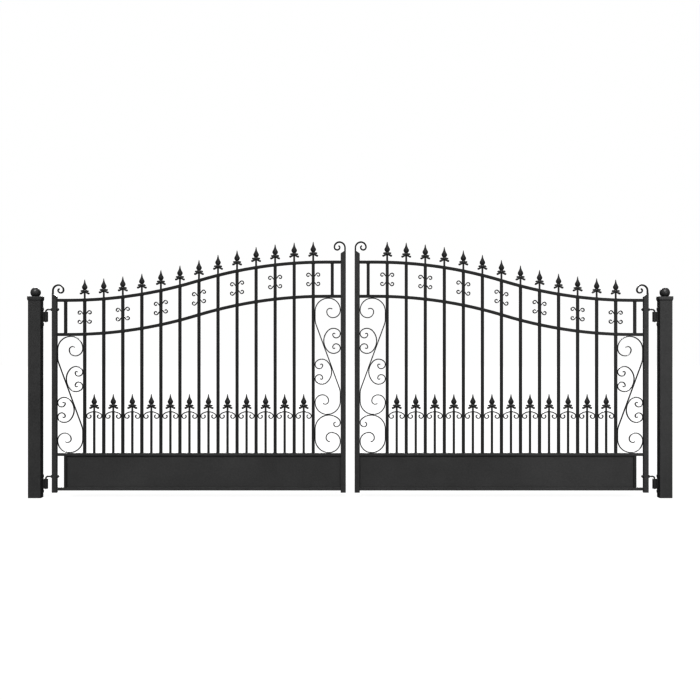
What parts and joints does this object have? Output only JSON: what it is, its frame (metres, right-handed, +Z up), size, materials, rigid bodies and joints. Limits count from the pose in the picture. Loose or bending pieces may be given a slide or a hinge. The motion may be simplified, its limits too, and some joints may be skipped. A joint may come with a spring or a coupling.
{
  "type": "driveway gate",
  "caption": "Ornamental iron driveway gate: spear-topped pickets, curved rails, scrollwork and a sheet kick panel in swinging leaves, hung by bolt hinges on square posts with ball caps.",
  "frame": {"origin": "centre of the left post's foot, at ground level", "axes": "+X along the gate from the left post to the right one, +Y inwards through the gate, +Z up"},
  "size_m": [4.607, 0.1, 1.8336],
  "materials": {
    "post_coat": "satin black powder coat",
    "cap_casting": "satin black on a casting",
    "frame_coat": "satin black powder coat",
    "picket_coat": "satin black powder coat",
    "spear_casting": "satin black on a casting",
    "scroll_coat": "satin black on bent flat bar",
    "panel_coat": "satin black on sheet",
    "hinge_coat": "satin black, worn at the bolts"
  },
  "bodies": {
    "posts": {"left_post": "post_coat", "right_post": "post_coat", "left_post_cap": "cap_casting", "right_post_cap": "cap_casting", "left_hinge_brackets": "hinge_coat", "right_hinge_brackets": "hinge_coat"},
    "left_leaf": {"left_hinge_stile": "frame_coat", "left_lock_stile": "frame_coat", "left_upper_rail": "frame_coat", "left_lower_rail": "frame_coat", "left_panel_rail": "frame_coat", "left_bottom_rail": "frame_coat", "left_kick_panel": "panel_coat", "left_panel_end_bar": "picket_coat", "left_pickets": "picket_coat", "left_band_bars": "picket_coat", "left_picket_spears": "spear_casting", "left_short_pickets": "picket_coat", "left_short_spears": "spear_casting", "left_collar_scrolls": "scroll_coat", "left_butterfly_scrolls": "scroll_coat", "left_hinge_bay_scrolls": "scroll_coat", "left_lock_bay_scrolls": "scroll_coat", "left_stile_finials": "scroll_coat", "left_hinge_bolts": "hinge_coat"},
    "right_leaf": {"right_hinge_stile": "frame_coat", "right_lock_stile": "frame_coat", "right_upper_rail": "frame_coat", "right_lower_rail": "frame_coat", "right_panel_rail": "frame_coat", "right_bottom_rail": "frame_coat", "right_kick_panel": "panel_coat", "right_panel_end_bar": "picket_coat", "right_pickets": "picket_coat", "right_band_bars": "picket_coat", "right_picket_spears": "spear_casting", "right_short_pickets": "picket_coat", "right_short_spears": "spear_casting", "right_collar_scrolls": "scroll_coat", "right_butterfly_scrolls": "scroll_coat", "right_hinge_bay_scrolls": "scroll_coat", "right_lock_bay_scrolls": "scroll_coat", "right_stile_finials": "scroll_coat", "right_hinge_bolts": "hinge_coat"}
  },
  "joints": [
    {"name": "left_leaf_hinge", "type": "hinge", "parent": "posts", "child": "left_leaf", "pos_m": [0.073, 0, 0], "axis": [0, 0, 1], "range_deg": [-90, 90]},
    {"name": "right_leaf_hinge", "type": "hinge", "parent": "posts", "child": "right_leaf", "pos_m": [4.434, 0, 0], "axis": [0, 0, -1], "range_deg": [-90, 90]}
  ]
}
